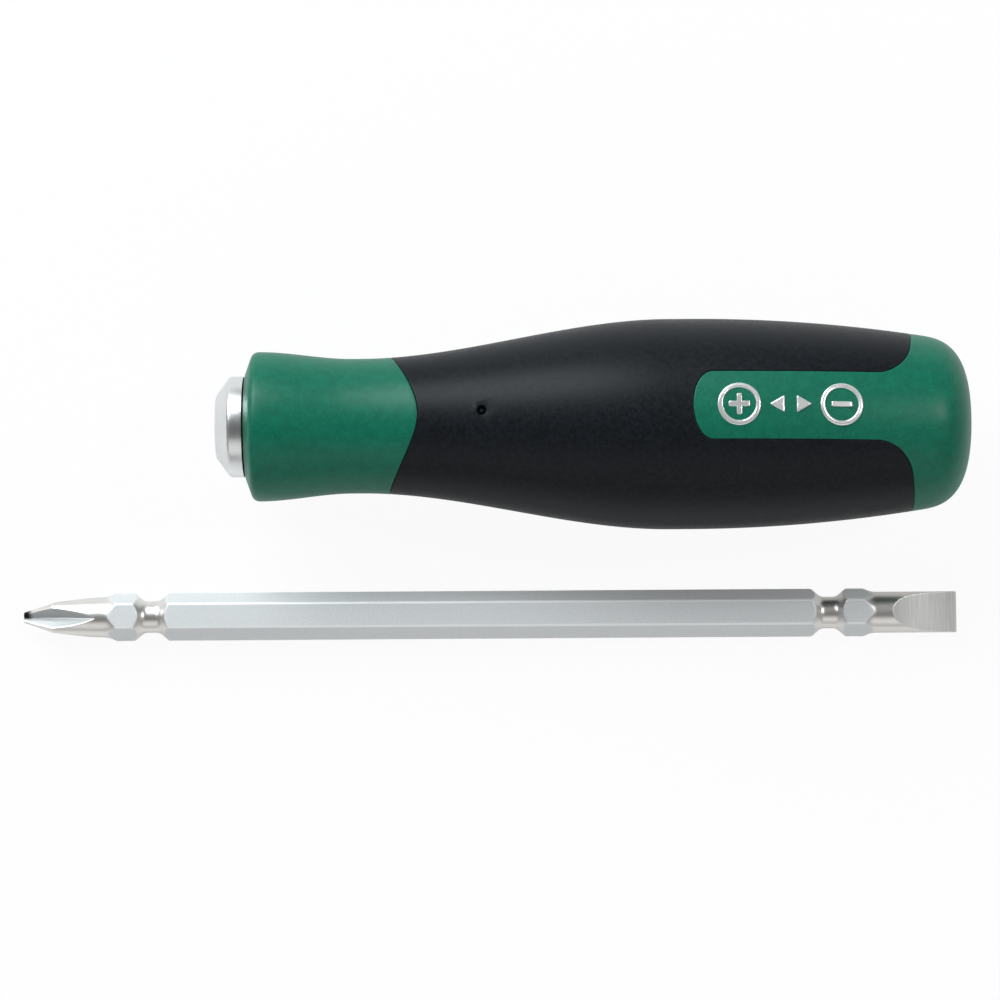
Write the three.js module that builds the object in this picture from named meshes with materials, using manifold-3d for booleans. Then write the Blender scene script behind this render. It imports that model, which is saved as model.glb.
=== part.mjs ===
// Double-ended screwdriver in its two loose halves: a two-colour moulded handle with a quick-release collar
// in its nose, and the reversible hexagonal blade lying beside it.
// Millimetres, +Z up. Both halves rest on the plane Z = 0, the handle's nose points along -X, and the origin
// is the middle of the footprint.
// Handle lengths are measured from the collar's front face, blade lengths from the cross tip or from each tip.

import * as THREE from "three";
import { mergeVertices } from "three/addons/utils/BufferGeometryUtils.js";
import Module from "manifold-3d";

const degrees = Math.PI / 180;

// Layout of the two halves
const axisSpacing = 27.3; // across, from the blade's axis to the handle's
const rearOverhang = 0.85; // how far the handle's dome reaches past the slotted tip

// Clearances
const slideClearance = 0.15; // radial room round a piece that slides
const noseClearance = 0.3; // radial room round the collar in the nose
const restGap = 0.3; // axial room between pieces that rest on each other
const stopGap = 0.2; // axial room at the snap ring
const mouldGap = 0.3; // room between the two mouldings and round the moulded-in tube
const socketClearance = 0.15; // the socket's width over the blade's
const mouthClearance = 0.25; // radial room round the blade in the collar's mouth
const tipClearance = 0.7; // room past the tip of an inserted blade

// Blade: hexagonal bar and ball grooves
const bladeLength = 140;
const hexAcrossFlats = 6.35;
const hexEdgeRadius = 0.25;
const grooveSetback = 19.2; // tip to the middle of the ball groove, the same at both ends
const grooveWidth = 5.25;
const grooveNeckRadius = 2.45;
const lockBandWidth = 2.95; // hexagonal band between a groove and its tip

// Blade: cross tip
const crossPointRadius = 0.9;
const crossConeLength = 4.45;
const crossConeRadius = 2.72;
const crossShankLength = 11.8; // tip to the flare
const crossShankRadius = 3.02;
const fluteRootRadius = 0.45; // flute's root at the point, from the axis
const fluteLength = 10.9; // tip to the flute's run-out
const fluteAngle = 92 * degrees;
const crossTipRoll = -6 * degrees; // turn of the flutes from straight up
const fluteCount = 4;

// Blade: slotted tip
const slotShankRadius = 3.15;
const slotShankLength = 12; // tip to the flare
const slotTipThickness = 1;
const grindLength = 9.8; // tip to the start of the hollow grind
const grindEntrySlope = 0.55;
const grindTipSlope = 0.08;

// Release collar and the lock inside it
const collarRadius = 7.45;
const collarProtrusion = 4.35; // out of the green nose
const collarTravel = 3;
const collarChamferLength = 2.05;
const collarFaceRadius = 4.65; // outer edge of the front face
const collarFrontWall = 2.2;
const collarRearLand = 2; // guide behind the snap ring's recess
const ballRadius = 1.25;
const ballProjection = 0.6; // how far a ball stands into the socket, and so how far it draws back
const ballSetback = 2.6; // tube's front end to the balls
const ballCover = 0.05; // depth of a seated ball below the tube's outer surface
const camLead = 0.1; // full-height land in front of the balls
const lockLand = 1.4; // full-height land behind the balls
const ringWireRadius = 0.4;
const ringSeatDepth = 0.8;
const ringStandProud = 0.45; // how far the snap ring stands out of the tube
const ringGapAngle = 40 * degrees;

// Spring and its seat
const springLength = 7.4;
const springWireRadius = 0.35;
const springCoils = 4.25;
const washerThickness = 0.8;

// Socket tube's tang, moulded into the core
const tangLength = 18; // behind the hexagonal bore
const tangThickness = 8;
const tangShoulder = 3; // round stretch in front of the tang's flats
const neckSetback = 8; // hexagonal bore's end to the tang's neck
const neckWidth = 3;
const neckDepth = 1;

// Handle's outer shape
const handleLength = 111; // with the collar
const noseRadius = 11.03;
const noseLip = 0.15; // flat rim round the collar's bore
const noseFaceSlope = 2.8; // radial rise for each step along the axis
const noseFillet = 0.9;
const waistStation = 20;
const waistFlat = 1.4;
const waistRadius = 9.94;
const bellyStation = 66.6;
const bellyFlat = 3.25;
const bellyRadius = 15.52;
const domeLength = 7.3;
const domeRadius = 12.9;
const domePower = 3; // 2 is an ellipse, more is squarer

// Grip sleeve: outlines seen from above the label tongue
const gripThickness = 2;
const gripApex = 29.83; // front edge at the middle of the green nose's tongue
const gripFrontSlope = 0.669;
const gripFrontRadius = 5;
const rearCapLength = 10.3; // handle's end to the middle of the grip's rear edge
const tongueLength = 31.1; // grip's rear edge to the tongue's tip
const tongueHalfWidth = 5.02;
const tongueTipLength = 2.9;
const tongueTipPower = 2;
const flareLength = 4.4;
const flareWidth = 4.6;
const rearSlant = 0.2; // how far the grip's rear edge runs back for each step outwards
const panelRoll = 4.7 * degrees; // turn of the tongue from straight up, towards +Y
const pinHoleStation = 39.15;
const pinHoleRadius = 0.8;
const pinHoleDepth = 1.2;

// Fineness of round shapes
const handleSides = 36;
const lockSides = 32;
const bladeSides = 24;
const ballSides = 16;
const wheelSides = 96;
const curveSteps = 5;
const domeSteps = 7;
const gripEdgeSteps = 7;
const edgeSteps = 2;
const coilSteps = 16;
const wireSides = 6;
const overcut = 1; // how far a cutting shape reaches past what it cuts
const mergeDistance = 1e-4;

const wasm = await Module();
wasm.setup();

// A closed geometry as a solid that can be joined and cut
function solidOf(geometry) {
  const bare = geometry.clone();
  bare.deleteAttribute("normal");
  bare.deleteAttribute("uv");
  const merged = mergeVertices(bare, mergeDistance);
  const vertProperties = merged.attributes.position.array;
  const triVerts = new Uint32Array(merged.index.array);
  return new wasm.Manifold(new wasm.Mesh({ numProp: 3, vertProperties, triVerts }));
}

function geometryOf(solid) {
  const mesh = solid.getMesh();
  const geometry = new THREE.BufferGeometry();
  geometry.setAttribute("position", new THREE.BufferAttribute(mesh.vertProperties, 3));
  geometry.setIndex(new THREE.BufferAttribute(mesh.triVerts, 1));
  return geometry;
}

// A profile of [station, radius] pairs turned about the X axis
function turned(profile, sides) {
  const points = profile.map(([station, radius]) => new THREE.Vector2(radius, station));
  return new THREE.LatheGeometry(points, sides).rotateZ(-Math.PI / 2);
}

function turnedRing(profile, sides) {
  return turned([...profile, profile[0]], sides);
}

function rod(start, end, radius, sides) {
  const profile = [
    [start, 0],
    [start, radius],
    [end, radius],
    [end, 0],
  ];
  return turned(profile, sides);
}

// A flat outline drawn in Y and Z, drawn out along X
function drawnAlongX(outline, start, end) {
  const geometry = new THREE.ExtrudeGeometry(outline, { depth: end - start, bevelEnabled: false });
  return geometry.rotateY(Math.PI / 2).rotateX(Math.PI / 2).translate(start, 0, 0);
}

function pairs(points) {
  return points.map((point) => [point.x, point.y]);
}

function smoothStep(share) {
  return share * share * (3 - 2 * share);
}

// Hexagon with flats facing up and down and its six edges rounded
function hexagon(acrossFlats, edgeRadius) {
  const edgeCentre = (acrossFlats / 2 - edgeRadius) / Math.cos(30 * degrees);
  const points = [];
  for (let corner = 0; corner < 6; corner += 1) {
    const direction = corner * 60 * degrees;
    for (let step = 0; step <= edgeSteps; step += 1) {
      const angle = direction + (step / edgeSteps - 0.5) * 60 * degrees;
      const across = edgeCentre * Math.cos(direction) + edgeRadius * Math.cos(angle);
      const up = edgeCentre * Math.sin(direction) + edgeRadius * Math.sin(angle);
      points.push(new THREE.Vector2(across, up));
    }
  }
  return new THREE.Shape(points);
}

function hexEdgeReach(acrossFlats, edgeRadius) {
  return (acrossFlats / 2 - edgeRadius) / Math.cos(30 * degrees) + edgeRadius;
}

// Sizes that follow from the driving dimensions
const bladeReach = hexEdgeReach(hexAcrossFlats, hexEdgeRadius);
const socketFlat = (hexAcrossFlats + socketClearance) / 2;
const ballStationRadius = socketFlat - ballProjection + ballRadius;
const tubeRadius = ballStationRadius + ballRadius + ballCover;
const guideRadius = tubeRadius + slideClearance;
const reliefRadius = guideRadius + ballProjection;
const mouthRadius = bladeReach + mouthClearance;
const tubeFront = collarFrontWall + collarTravel + restGap;
const ballStation = tubeFront + ballSetback;
const socketEnd = ballStation + grooveSetback + tipClearance;
const recessFront = ballStation + lockLand;
const ringStation = recessFront + stopGap + collarTravel + ringWireRadius;
const recessRear = ringStation + ringWireRadius + stopGap;
const recessRadius = tubeRadius + ringStandProud + 2 * slideClearance;
const collarRear = recessRear + collarRearLand;
const springStart = collarRear + restGap;
const washerFront = springStart + springLength + restGap;
const springSeat = washerFront + washerThickness + restGap;
const noseBoreRadius = collarRadius + noseClearance;
const noseLipRadius = noseBoreRadius + noseLip;
const noseCorner = collarProtrusion + (noseRadius - noseLipRadius) / noseFaceSlope;
const noseShoulder = noseCorner + noseFillet;
const waistEnd = waistStation + waistFlat;
const bellyEnd = bellyStation + bellyFlat;
const gripRear = handleLength - rearCapLength;
const tongueTip = gripRear - tongueLength;
const domeStart = handleLength - domeLength;

// Blade, with its cross tip at the start of X

function bladeEnvelope() {
  const bandEnd = grooveSetback - grooveWidth / 2;
  const bandStart = bandEnd - lockBandWidth;
  const grooveDepth = bladeReach - grooveNeckRadius;
  const grooveArc = (grooveDepth ** 2 + (grooveWidth / 2) ** 2) / (2 * grooveDepth);
  const halfSweep = Math.asin(grooveWidth / 2 / grooveArc);
  function groove(middle) {
    const points = [];
    for (let step = -curveSteps; step <= curveSteps; step += 1) {
      const angle = (step / curveSteps) * halfSweep;
      const radius = grooveNeckRadius + grooveArc * (1 - Math.cos(angle));
      points.push([middle + grooveArc * Math.sin(angle), radius]);
    }
    return points;
  }
  const flare = new THREE.QuadraticBezierCurve(
    new THREE.Vector2(crossShankLength, crossShankRadius),
    new THREE.Vector2((crossShankLength + bandStart) / 2, crossShankRadius),
    new THREE.Vector2(bandStart, bladeReach),
  );
  const slotFlare = new THREE.QuadraticBezierCurve(
    new THREE.Vector2(bladeLength - bandStart, bladeReach),
    new THREE.Vector2(bladeLength - (slotShankLength + bandStart) / 2, slotShankRadius),
    new THREE.Vector2(bladeLength - slotShankLength, slotShankRadius),
  );
  return turned(
    [
      [0, 0],
      [0, crossPointRadius],
      [crossConeLength, crossConeRadius],
      ...pairs(flare.getPoints(2 * edgeSteps)),
      ...groove(grooveSetback),
      ...groove(bladeLength - grooveSetback),
      ...pairs(slotFlare.getPoints(2 * edgeSteps)),
      [bladeLength, slotShankRadius],
      [bladeLength, 0],
    ],
    bladeSides,
  );
}

// The rim of a milling wheel with a V edge, whose path leaves one flute of the cross tip
function fluteCutter(turn) {
  const rise = crossShankRadius - fluteRootRadius;
  const wheelRadius = (fluteLength ** 2 + rise ** 2) / (2 * rise);
  const rimDepth = 2 * crossShankRadius;
  const rimHalfWidth = rimDepth * Math.tan(fluteAngle / 2);
  const wheel = turnedRing(
    [
      [-rimHalfWidth, wheelRadius - rimDepth],
      [0, wheelRadius],
      [rimHalfWidth, wheelRadius - rimDepth],
    ],
    wheelSides,
  );
  wheel.rotateZ(Math.PI / 2);
  wheel.translate(0, 0, wheelRadius + fluteRootRadius);
  return wheel.rotateX(turn);
}

// The space over one hollow-ground face of the slotted tip
function grindCutter() {
  const start = bladeLength - grindLength;
  const tipHeight = slotTipThickness / 2;
  const drop = slotShankRadius - tipHeight - grindTipSlope * grindLength;
  const bend = drop / (grindEntrySlope - grindTipSlope);
  const bendHeight = slotShankRadius - grindEntrySlope * bend;
  const top = bladeReach + overcut;
  const outline = new THREE.Shape();
  outline.moveTo(start, slotShankRadius);
  outline.quadraticCurveTo(start + bend, bendHeight, bladeLength, tipHeight);
  outline.lineTo(bladeLength + overcut, tipHeight);
  outline.lineTo(bladeLength + overcut, top);
  outline.lineTo(start, top);
  const geometry = new THREE.ExtrudeGeometry(outline, {
    depth: 2 * top,
    bevelEnabled: false,
    curveSegments: curveSteps,
  });
  return geometry.rotateX(Math.PI / 2).translate(0, top, 0);
}

function bladeGeometry() {
  const bar = solidOf(drawnAlongX(hexagon(hexAcrossFlats, hexEdgeRadius), 0, bladeLength));
  let blade = bar.intersect(solidOf(bladeEnvelope()));
  for (let flute = 0; flute < fluteCount; flute += 1) {
    const turn = -crossTipRoll + (flute / fluteCount) * 360 * degrees;
    blade = blade.subtract(solidOf(fluteCutter(turn)));
  }
  blade = blade.subtract(solidOf(grindCutter()));
  blade = blade.subtract(solidOf(grindCutter().rotateX(Math.PI)));
  return geometryOf(blade);
}

// Handle, with the collar's front face at the start of X

// Radius of the handle's outer shape behind the nose's shoulder
function handleRadius(station) {
  if (station <= waistStation) {
    const share = (station - noseShoulder) / (waistStation - noseShoulder);
    return noseRadius + (waistRadius - noseRadius) * smoothStep(share);
  }
  if (station <= waistEnd) {
    return waistRadius;
  }
  if (station <= bellyStation) {
    const share = (station - waistEnd) / (bellyStation - waistEnd);
    return waistRadius + (bellyRadius - waistRadius) * smoothStep(share);
  }
  if (station <= bellyEnd) {
    return bellyRadius;
  }
  const share = (station - bellyEnd) / (domeStart - bellyEnd);
  const body = bellyRadius - (bellyRadius - domeRadius) * share ** 2;
  if (station <= domeStart) {
    return body;
  }
  const domeShare = Math.min((station - domeStart) / domeLength, 1);
  return body * (1 - domeShare ** domePower) ** (1 / domePower);
}

// The handle's outer outline from the nose to the end of the dome, drawn in by an even depth
function handleOutline(depth) {
  const filletRun = noseFillet / Math.hypot(1, noseFaceSlope);
  const corner = new THREE.QuadraticBezierCurve(
    new THREE.Vector2(noseCorner - filletRun, noseRadius - noseFaceSlope * filletRun),
    new THREE.Vector2(noseCorner, noseRadius),
    new THREE.Vector2(noseShoulder, noseRadius),
  );
  const stations = [];
  for (const [start, end, steps] of [
    [noseShoulder, waistStation, curveSteps],
    [waistStation, waistEnd, 1],
    [waistEnd, bellyStation, 2 * curveSteps],
    [bellyStation, bellyEnd, 1],
    [bellyEnd, domeStart, curveSteps],
  ]) {
    for (let step = 1; step <= steps; step += 1) {
      stations.push(start + ((end - start) * step) / steps);
    }
  }
  for (let step = 1; step < domeSteps; step += 1) {
    const angle = (step / domeSteps) * 90 * degrees;
    stations.push(domeStart + domeLength * Math.sin(angle) ** (2 / domePower));
  }
  const outline = [
    [collarProtrusion, noseLipRadius],
    ...pairs(corner.getPoints(2 * edgeSteps)),
    ...stations.map((station) => [station, handleRadius(station)]),
  ];
  return outline.map(([station, radius]) => [station, radius - depth]);
}

function handleBody() {
  return turned([[collarProtrusion, 0], ...handleOutline(0), [handleLength, 0]], handleSides);
}

// The handle's shape under the grip, drawn in by an even depth and long enough to pass both grip edges
function handleUnderGrip(depth) {
  const outline = handleOutline(depth).filter(([station, radius]) => station > collarProtrusion && radius > 0);
  const first = outline[0][0];
  const last = outline[outline.length - 1][0];
  return turned([[first, 0], ...outline, [last, 0]], handleSides);
}

// The grip's outline seen from above the label tongue, drawn in from the green areas by an even gap
function gripShape(gap) {
  const side = bellyRadius + overcut;
  const apex = gripApex + gap * Math.hypot(1, gripFrontSlope);
  const rearGap = gap * Math.hypot(1, rearSlant);
  const flareStart = gripRear - flareLength;
  const halfWidth = tongueHalfWidth + gap;
  function rearAt(across) {
    return gripRear - rearGap + rearSlant * (across - halfWidth);
  }
  const tip = tongueTip - gap;
  const tipLength = tongueTipLength + gap;
  const front = [];
  for (let step = -gripEdgeSteps; step <= gripEdgeSteps; step += 1) {
    const across = side * Math.sign(step) * (step / gripEdgeSteps) ** 2;
    const back = Math.hypot(across, gripFrontRadius) - gripFrontRadius;
    front.push(new THREE.Vector2(apex - gripFrontSlope * back, across));
  }
  const edge = [new THREE.Vector2(rearAt(halfWidth + flareWidth), halfWidth + flareWidth)];
  for (let step = 1; step <= curveSteps; step += 1) {
    const angle = (step / curveSteps) * 90 * degrees;
    const outwards = flareWidth * (1 - Math.sin(angle));
    const station = flareStart + (flareLength - rearGap) * Math.cos(angle) + rearSlant * outwards;
    edge.push(new THREE.Vector2(station, halfWidth + outwards));
  }
  for (let step = 0; step < curveSteps; step += 1) {
    const angle = (step / curveSteps) * 90 * degrees;
    const station = tip + tipLength * (1 - Math.sin(angle) ** (2 / tongueTipPower));
    edge.push(new THREE.Vector2(station, halfWidth * Math.cos(angle) ** (2 / tongueTipPower)));
  }
  const mirrored = edge.map((point) => new THREE.Vector2(point.x, -point.y)).reverse();
  const outline = [
    ...front,
    new THREE.Vector2(rearAt(side), side),
    ...edge,
    new THREE.Vector2(tip, 0),
    ...mirrored,
    new THREE.Vector2(rearAt(side), -side),
  ];
  const depth = 2 * (bellyRadius + overcut);
  const geometry = new THREE.ExtrudeGeometry(new THREE.Shape(outline), { depth, bevelEnabled: false });
  return geometry.translate(0, 0, -depth / 2).rotateX(-panelRoll);
}

// The tube's outer shape, drawn out by an even gap where the core is moulded round it
function tubeShape(gap) {
  const radius = tubeRadius + gap;
  const end = socketEnd + tangLength + gap;
  const neckStart = socketEnd + neckSetback + gap;
  const neckEnd = socketEnd + neckSetback + neckWidth - gap;
  const round = turned(
    [
      [tubeFront - gap, 0],
      [tubeFront - gap, radius],
      [neckStart, radius],
      [neckStart, radius - neckDepth],
      [neckEnd, radius - neckDepth],
      [neckEnd, radius],
      [end, radius],
      [end, 0],
    ],
    lockSides,
  );
  const flatStart = socketEnd + tangShoulder + gap;
  const height = radius + overcut;
  const flatHeight = tangThickness / 2 + gap;
  const above = new THREE.BoxGeometry(end - flatStart + overcut, 2 * height, height - flatHeight);
  above.translate((flatStart + end + overcut) / 2, 0, (height + flatHeight) / 2);
  const below = above.clone().rotateX(Math.PI);
  return solidOf(round).subtract(solidOf(above)).subtract(solidOf(below));
}

// Hole for one locking ball: it narrows towards the socket so that the ball can't fall through
function ballHole() {
  const seatRadius = Math.sqrt(ballRadius ** 2 - (ballRadius - ballProjection) ** 2) + slideClearance;
  const holeRadius = ballRadius + slideClearance;
  const hole = turned(
    [
      [0, 0],
      [0, seatRadius],
      [socketFlat, seatRadius],
      [ballStationRadius, holeRadius],
      [tubeRadius + overcut, holeRadius],
      [tubeRadius + overcut, 0],
    ],
    ballSides,
  );
  return hole.rotateY(-Math.PI / 2).translate(ballStation, 0, 0);
}

function socketTubeGeometry() {
  const bore = drawnAlongX(hexagon(2 * socketFlat, hexEdgeRadius), tubeFront - overcut, socketEnd);
  const ringSeat = turnedRing(
    [
      [ringStation - ringWireRadius - slideClearance, tubeRadius - ringSeatDepth],
      [ringStation - ringWireRadius - slideClearance, tubeRadius + overcut],
      [ringStation + ringWireRadius + slideClearance, tubeRadius + overcut],
      [ringStation + ringWireRadius + slideClearance, tubeRadius - ringSeatDepth],
    ],
    lockSides,
  );
  const tube = tubeShape(0)
    .subtract(solidOf(bore))
    .subtract(solidOf(ringSeat))
    .subtract(solidOf(ballHole()))
    .subtract(solidOf(ballHole().rotateX(Math.PI)));
  return geometryOf(tube);
}

// Collar: a cap over the tube, with the taper that lets the balls draw back as it is pushed in
function collarGeometry() {
  return turnedRing(
    [
      [0, mouthRadius],
      [0, collarFaceRadius],
      [collarChamferLength, collarRadius],
      [collarRear, collarRadius],
      [collarRear, guideRadius],
      [recessRear, guideRadius],
      [recessRear, recessRadius],
      [recessFront, recessRadius],
      [recessFront, guideRadius],
      [ballStation - camLead, guideRadius],
      [ballStation - collarTravel, reliefRadius],
      [collarFrontWall, reliefRadius],
      [collarFrontWall, mouthRadius],
    ],
    lockSides,
  );
}

function snapRingGeometry() {
  const ringRadius = tubeRadius + ringStandProud - ringWireRadius;
  const section = [];
  for (let side = 0; side < wireSides; side += 1) {
    const angle = (side / wireSides) * 360 * degrees;
    const station = ringStation + ringWireRadius * Math.sin(angle);
    section.push([station, ringRadius + ringWireRadius * Math.cos(angle)]);
  }
  const reach = tubeRadius + ringStandProud + overcut;
  const gap = new THREE.BoxGeometry(reach, reach, 2 * ringRadius * Math.sin(ringGapAngle / 2));
  gap.translate(ringStation, reach / 2, 0);
  return geometryOf(solidOf(turnedRing(section, lockSides)).subtract(solidOf(gap)));
}

// Round wire wound evenly about the X axis
function springGeometry() {
  const coilRadius = (tubeRadius + noseBoreRadius) / 2;
  const steps = Math.round(springCoils * coilSteps);
  const travel = springLength - 2 * springWireRadius;
  const positions = [];
  const faces = [];
  for (let step = 0; step <= steps; step += 1) {
    const angle = (step / steps) * springCoils * 360 * degrees;
    const station = springStart + springWireRadius + (travel * step) / steps;
    for (let side = 0; side < wireSides; side += 1) {
      const turn = (side / wireSides) * 360 * degrees;
      const radius = coilRadius + springWireRadius * Math.cos(turn);
      const along = station + springWireRadius * Math.sin(turn);
      positions.push(along, radius * Math.cos(angle), radius * Math.sin(angle));
    }
  }
  for (let step = 0; step < steps; step += 1) {
    for (let side = 0; side < wireSides; side += 1) {
      const here = step * wireSides + side;
      const beside = step * wireSides + ((side + 1) % wireSides);
      faces.push(here, here + wireSides, beside);
      faces.push(beside, here + wireSides, beside + wireSides);
    }
  }
  const last = steps * wireSides;
  for (let side = 1; side < wireSides - 1; side += 1) {
    faces.push(0, side, side + 1);
    faces.push(last, last + side + 1, last + side);
  }
  const geometry = new THREE.BufferGeometry();
  geometry.setAttribute("position", new THREE.Float32BufferAttribute(positions, 3));
  geometry.setIndex(faces);
  return geometry;
}

function washerGeometry() {
  return turnedRing(
    [
      [washerFront, guideRadius],
      [washerFront, collarRadius],
      [washerFront + washerThickness, collarRadius],
      [washerFront + washerThickness, guideRadius],
    ],
    lockSides,
  );
}

function coreGeometry() {
  const noseBore = rod(collarProtrusion - overcut, springSeat, noseBoreRadius, lockSides);
  const gripSpace = solidOf(gripShape(0)).subtract(solidOf(handleUnderGrip(gripThickness + mouldGap)));
  const core = solidOf(handleBody())
    .subtract(solidOf(noseBore))
    .subtract(tubeShape(mouldGap))
    .subtract(gripSpace);
  return geometryOf(core);
}

function gripGeometry() {
  const pinHole = new THREE.CylinderGeometry(pinHoleRadius, pinHoleRadius, 2 * pinHoleDepth, ballSides);
  pinHole.rotateX(Math.PI / 2);
  pinHole.translate(pinHoleStation, 0, handleRadius(pinHoleStation)).rotateX(-panelRoll);
  const grip = solidOf(handleBody())
    .intersect(solidOf(gripShape(mouldGap)))
    .subtract(solidOf(handleUnderGrip(gripThickness)))
    .subtract(solidOf(pinHole));
  return geometryOf(grip);
}

// Materials
function material(color, roughness, metalness) {
  return new THREE.MeshStandardMaterial({ color, roughness, metalness });
}

const greenPlastic = material(0x0f6b50, 0.45, 0);
const blackRubber = material(0x1c1d20, 0.7, 0);
const satinNickel = material(0xb9bec0, 0.35, 1);
const turnedAluminium = material(0xc9cacb, 0.4, 1);
const plainSteel = material(0x8f9294, 0.4, 1);
const brightSteel = material(0xd0d2d4, 0.15, 1);
const springSteel = material(0x77797c, 0.35, 1);

function piece(name, geometry, finish) {
  const mesh = new THREE.Mesh(geometry, finish);
  mesh.name = name;
  return mesh;
}

// Assembly
const footprintLength = bladeLength + rearOverhang;
const footprintWidth = bladeReach + axisSpacing + bellyRadius;
const bladeAcross = bladeReach - footprintWidth / 2;

const handle = new THREE.Group();
handle.position.set(footprintLength / 2 - handleLength, bladeAcross + axisSpacing, bellyRadius);
handle.add(piece("handle_core", coreGeometry(), greenPlastic));
handle.add(piece("grip_sleeve", gripGeometry(), blackRubber));
handle.add(piece("socket_tube", socketTubeGeometry(), plainSteel));
handle.add(piece("release_collar", collarGeometry(), turnedAluminium));
handle.add(piece("snap_ring", snapRingGeometry(), springSteel));
handle.add(piece("collar_spring", springGeometry(), springSteel));
handle.add(piece("spring_washer", washerGeometry(), plainSteel));
for (const [name, side] of [["locking_ball_upper", 1], ["locking_ball_lower", -1]]) {
  const ball = piece(name, new THREE.SphereGeometry(ballRadius, ballSides, ballSides / 2), brightSteel);
  ball.position.set(ballStation, 0, side * ballStationRadius);
  handle.add(ball);
}

const blade = piece("double_ended_blade", bladeGeometry(), satinNickel);
blade.position.set(-footprintLength / 2, bladeAcross, hexAcrossFlats / 2);

const screwdriver = new THREE.Group();
screwdriver.add(handle, blade);

export default screwdriver;
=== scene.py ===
import math

import bmesh
import bpy
import numpy as np
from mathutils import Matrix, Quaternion, Vector


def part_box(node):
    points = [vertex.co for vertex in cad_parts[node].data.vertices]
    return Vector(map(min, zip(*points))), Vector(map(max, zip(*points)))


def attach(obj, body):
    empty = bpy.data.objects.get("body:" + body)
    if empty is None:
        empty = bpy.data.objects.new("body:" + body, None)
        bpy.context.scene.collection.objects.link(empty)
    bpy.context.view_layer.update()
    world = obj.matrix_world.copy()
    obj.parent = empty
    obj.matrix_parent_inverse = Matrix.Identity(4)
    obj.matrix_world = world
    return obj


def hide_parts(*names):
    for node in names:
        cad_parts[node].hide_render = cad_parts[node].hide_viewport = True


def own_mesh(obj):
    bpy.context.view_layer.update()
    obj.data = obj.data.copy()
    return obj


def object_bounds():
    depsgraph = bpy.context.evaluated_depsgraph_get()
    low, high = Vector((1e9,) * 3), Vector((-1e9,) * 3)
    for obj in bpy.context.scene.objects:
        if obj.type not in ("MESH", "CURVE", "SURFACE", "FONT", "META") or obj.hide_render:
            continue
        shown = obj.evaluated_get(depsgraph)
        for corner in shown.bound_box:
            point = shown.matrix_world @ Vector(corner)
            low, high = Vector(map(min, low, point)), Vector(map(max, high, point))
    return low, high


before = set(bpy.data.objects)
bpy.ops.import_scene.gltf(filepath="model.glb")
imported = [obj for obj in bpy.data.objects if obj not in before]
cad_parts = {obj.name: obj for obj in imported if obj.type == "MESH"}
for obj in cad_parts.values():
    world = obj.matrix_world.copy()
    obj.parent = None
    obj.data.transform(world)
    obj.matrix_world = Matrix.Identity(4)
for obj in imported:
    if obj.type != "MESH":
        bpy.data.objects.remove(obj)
cadLow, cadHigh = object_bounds()

mm = 0.001  # sizes below are in millimetres unless they say otherwise

collarLow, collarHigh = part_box("release_collar")
bladeLow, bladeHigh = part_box("double_ended_blade")
collarMiddle = (collarLow + collarHigh) / 2
bladeMiddle = (bladeLow + bladeHigh) / 2
handleOrigin = np.array([collarLow.x, collarMiddle.y, collarMiddle.z])  # collar's front face, on the axis
bladeOrigin = np.array([bladeLow.x, bladeMiddle.y, bladeMiddle.z])  # cross tip's end, on the axis


# Meshes from grids

def gridFaces(rows, columns, around=False):  # quads of a grid that is numbered row by row
    row = np.arange(rows - 1)[:, None] * columns
    column = np.arange(columns if around else columns - 1)[None, :]
    beside = (column + 1) % columns
    corners = [row + column, row + beside, row + beside + columns, row + column + columns]
    return np.stack(np.broadcast_arrays(*corners), -1).reshape(-1, 4)


def patch(points, around=False):  # a grid of points with its quads
    rows, columns = points.shape[:2]
    return points.reshape(-1, 3), gridFaces(rows, columns, around)


meshing = {
    "merge": 0.001,  # corners nearer than this become one
    "crease": 38,  # degrees, sharper edges are shaded hard
}


def makePiece(name, patches, body, finish, crease=meshing["crease"]):  # one closed mesh
    starts = np.cumsum([0] + [len(points) for points, quads in patches])
    points = np.concatenate([points for points, quads in patches])
    quads = np.concatenate([quads + start for (corners, quads), start in zip(patches, starts)])
    mesh = bpy.data.meshes.new(name)
    mesh.from_pydata(points.tolist(), [], quads.tolist())
    shell = bmesh.new()
    shell.from_mesh(mesh)
    bmesh.ops.remove_doubles(shell, verts=shell.verts, dist=meshing["merge"] * mm)
    bmesh.ops.recalc_face_normals(shell, faces=shell.faces)
    openEdges = sum(edge.is_boundary for edge in shell.edges)
    shell.to_mesh(mesh)
    shell.free()
    mesh.polygons.foreach_set("use_smooth", np.ones(len(mesh.polygons), bool))
    mesh.set_sharp_from_angle(angle=math.radians(crease))
    mesh.materials.append(finish)
    piece = bpy.data.objects.new(name, mesh)
    bpy.context.scene.collection.objects.link(piece)
    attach(piece, body)
    print(name, len(mesh.polygons), "faces,", openEdges, "open edges")
    return piece


def meshSpots(mesh, origin):  # millimetres of every corner of a mesh from an origin
    spots = np.zeros(len(mesh.vertices) * 3)
    mesh.vertices.foreach_get("co", spots)
    return ((spots.reshape(-1, 3) - origin) / mm).T


def addZone(mesh, name, values):  # a number at every corner, read by the finish
    mesh.attributes.new(name, "FLOAT", "POINT").data.foreach_set("value", values.astype(np.float32))


def ease(share):  # smooth step from 0 to 1
    share = np.clip(share, 0, 1)
    return share * share * (3 - 2 * share)


def spread(count, bunching):  # 0 to 1, with the steps bunched towards both ends
    even = np.linspace(0, 1, count + 1)
    return even + bunching * ((1 - np.cos(math.pi * even)) / 2 - even)


def fullTurn(count):  # even angles once round, without the repeated last one
    return np.linspace(0, 2 * math.pi, count, endpoint=False)


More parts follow.
